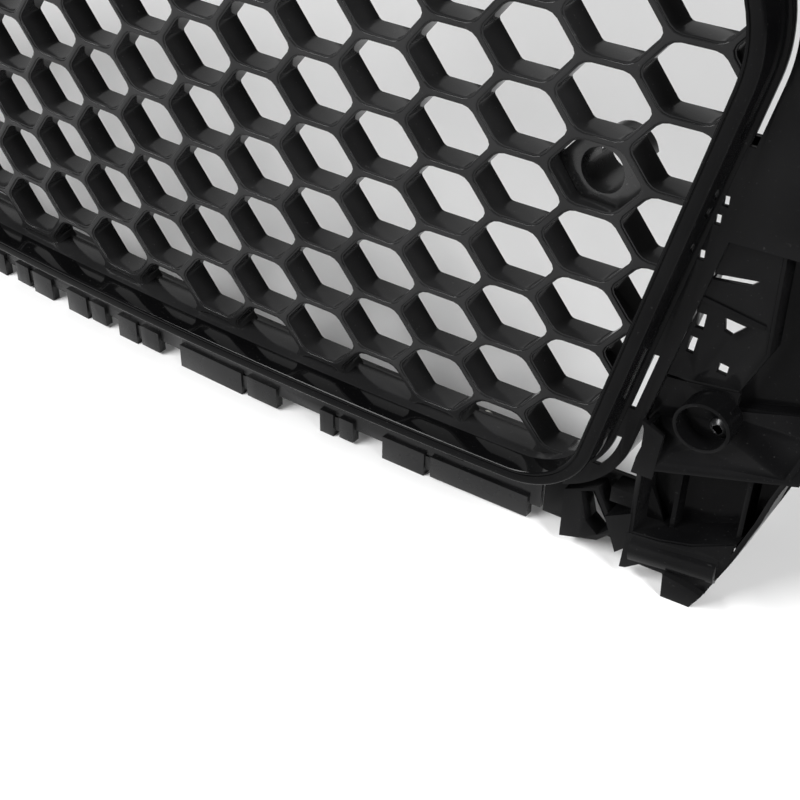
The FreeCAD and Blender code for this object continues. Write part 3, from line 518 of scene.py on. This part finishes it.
cut_outside(honeycomb, CUT_OUT)
bpy.ops.mesh.select_mode(type="VERT")
bpy.ops.mesh.select_all(action="SELECT")
bpy.ops.mesh.remove_doubles(threshold=2e-6)
bpy.ops.mesh.select_all(action="SELECT")
bpy.ops.mesh.fill_holes(sides=0)
bpy.ops.object.mode_set(mode="OBJECT")
report(honeycomb)

# %% [markdown]
# ### The wall round the honeycomb
#
# The cells end in a deeper wall that stands inside the surround. It takes the screws through round
# ears behind the surround's channel. The wall is swept like the surround and the ears are turned
# tubes, all joined to the cells as one moulding.

# %% Wall and ears
RIM_SECTION = [(0, 7), (0, -10.8), (1.7, -10.8), (1.7, 7)]
rim = draw_section("rim", RIM_SECTION)
round_section(rim, RIM_SECTION, 0.4, 2)
sweep(rim)


def side_x(z, out):
    """The x of the leaning side, moved outwards, at that height."""
    x0, z0, radius = ARCS[0]
    facing = FACING[1]
    foot = (x0 + (radius + out * MM) * math.cos(facing), z0 + (radius + out * MM) * math.sin(facing))
    return foot[0] + (z - foot[1]) * math.tan(-facing)


SCREW_OUT = 4.3
EAR_RADIUS, EAR_LENGTH, EAR_MIDDLE_Y = 3.0, 12.7, 0.65
EAR_ROUND, EAR_WALL = 0.3, 0.9
low_z = ARCS[0][1] - ARCS[0][2] - SCREW_OUT * MM
top_z = ARCS[2][1] + ARCS[2][2] + SCREW_OUT * MM
screw_spots = [(x * MM, low_z) for x in (60, 180, 300)] + [(x * MM, top_z) for x in (60, 180, 290)]
screw_spots += [(side_x(z * MM, SCREW_OUT), z * MM) for z in (150, 228)]
ears = []
for x, z in screw_spots:
    for side in (1, -1):
        drop_selection()
        bpy.ops.mesh.primitive_cylinder_add(vertices=20, radius=EAR_RADIUS * MM,
                                            depth=EAR_LENGTH * MM, end_fill_type="NGON",
                                            location=(side * x, EAR_MIDDLE_Y * MM, z),
                                            rotation=(math.pi / 2, 0, 0))
        ear = bpy.context.object
        bpy.ops.object.transform_apply(location=True, rotation=True)
        open_mesh(ear, "FACE")
        choose(ear, "FACE", lambda co, f: abs(f.normal.y) > 0.5)
        bpy.ops.mesh.inset(thickness=EAR_ROUND * MM, depth=EAR_ROUND * MM)
        bpy.ops.mesh.inset(thickness=EAR_WALL * MM)
        bpy.ops.mesh.bridge_edge_loops()
        bpy.ops.object.mode_set(mode="OBJECT")
        ears.append(ear)
pick(honeycomb)
for piece in [rim] + ears:
    piece.select_set(True)
bpy.ops.object.join()
bend(honeycomb)
smooth(honeycomb, 35)
dress(honeycomb, honeycomb_black, "honeycomb_mesh")
report(honeycomb)

# %% [markdown]
# ## Carriers, brackets and fixings
#
# These come from the frame as loose triangles. A copy has its corners merged and its flat triangles
# joined into whole faces. Then every sharp edge gets the small round that any moulding has: it is
# what catches the light along each rib and hole.

# %% Copies of the frame's pieces, with rounded edges
SHARP_ANGLE = 28


def refine(node, material, round_mm):
    """Makes a finer copy of a node: merged, with whole faces and rounded edges."""
    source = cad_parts[node]
    piece = source.copy()
    piece.data = source.data.copy()
    piece.name = node + "_finished"
    piece.parent = None
    bpy.context.scene.collection.objects.link(piece)
    piece.matrix_world = source.matrix_world.copy()
    open_mesh(piece)
    bpy.ops.mesh.select_all(action="SELECT")
    bpy.ops.mesh.remove_doubles(threshold=2e-6)
    bpy.ops.mesh.dissolve_limited(angle_limit=math.radians(0.6))
    bpy.ops.object.mode_set(mode="OBJECT")
    pick(piece)
    bpy.ops.object.transform_apply(location=True, rotation=True, scale=True)
    apply_modifier(piece, "BEVEL", width=round_mm * MM, segments=2, limit_method="ANGLE",
                   angle_limit=math.radians(SHARP_ANGLE), harden_normals=False,
                   use_clamp_overlap=True)
    smooth(piece, 40)
    dress(piece, material, node)
    report(piece)


refine("lower_carrier", carrier_black, 0.45)
refine("upper_carrier", carrier_black, 0.45)
for side in ("left", "right"):
    refine(f"side_bracket_{side}", bracket_black, 0.45)
    refine(f"sensor_holder_{side}", holder_black, 0.4)
    refine(f"side_screws_{side}", zinc, 0.15)
    refine(f"boss_screw_{side}", black_zinc, 0.25)
    refine(f"boss_nut_{side}", zinc, 0.2)
    refine(f"bump_stop_{side}", stop_rubber, 0.5)
refine("lower_screws", zinc, 0.15)
refine("upper_screws", zinc, 0.15)
refine("spring_nuts_upper", spring_steel, 0.15)

# %% [markdown]
# ## Floor and light
#
# The grille stands on a wide matt white floor that is its backdrop too. A long, low key light in
# front gives the thin highlights along the edges. A dim light behind lifts the floor that is seen
# through the cells, and a small one at the right keeps the brackets' ends from going black.

# %% Floor and light
drop_selection()
bpy.ops.mesh.primitive_plane_add(size=8, location=(0, 0, 0))
floor = bpy.context.object
floor.name = "floor"
white = bpy.data.materials.new("paper_white")
white.use_nodes = True
matt = white.node_tree.nodes["Principled BSDF"]
matt.inputs["Base Color"].default_value = (0.9, 0.9, 0.9, 1)
matt.inputs["Roughness"].default_value = 0.9
floor.data.materials.append(white)


def area_light(name, place, target, size, power):
    bpy.ops.object.light_add(type="AREA", location=place)
    light = bpy.context.object
    light.name = name
    light.data.shape = "RECTANGLE"
    light.data.size, light.data.size_y = size
    light.data.energy = power
    aim = Vector(target) - Vector(place)
    light.rotation_euler = aim.to_track_quat("-Z", "Y").to_euler()
    print(f"{name}: {power} W")


area_light("key", (-0.75, -1.35, 1.25), (0.2, -0.35, 0.0), (1.6, 0.3), 64)
area_light("wall", (-0.8, 1.5, 1.3), (0.1, 0.0, 0.15), (2.4, 1.1), 7)
area_light("side", (1.35, -0.35, 0.9), (0.45, -0.1, 0.0), (0.3, 0.9), 15)
world = bpy.data.worlds.new("room")
bpy.context.scene.world = world
world.use_nodes = True
world.node_tree.nodes["Background"].inputs["Color"].default_value = (1, 1, 1, 1)
world.node_tree.nodes["Background"].inputs["Strength"].default_value = 0.12
bpy.context.scene.view_settings.view_transform = "Standard"

# %% The end: the bow's lattice is removed
bpy.data.objects.remove(bow)
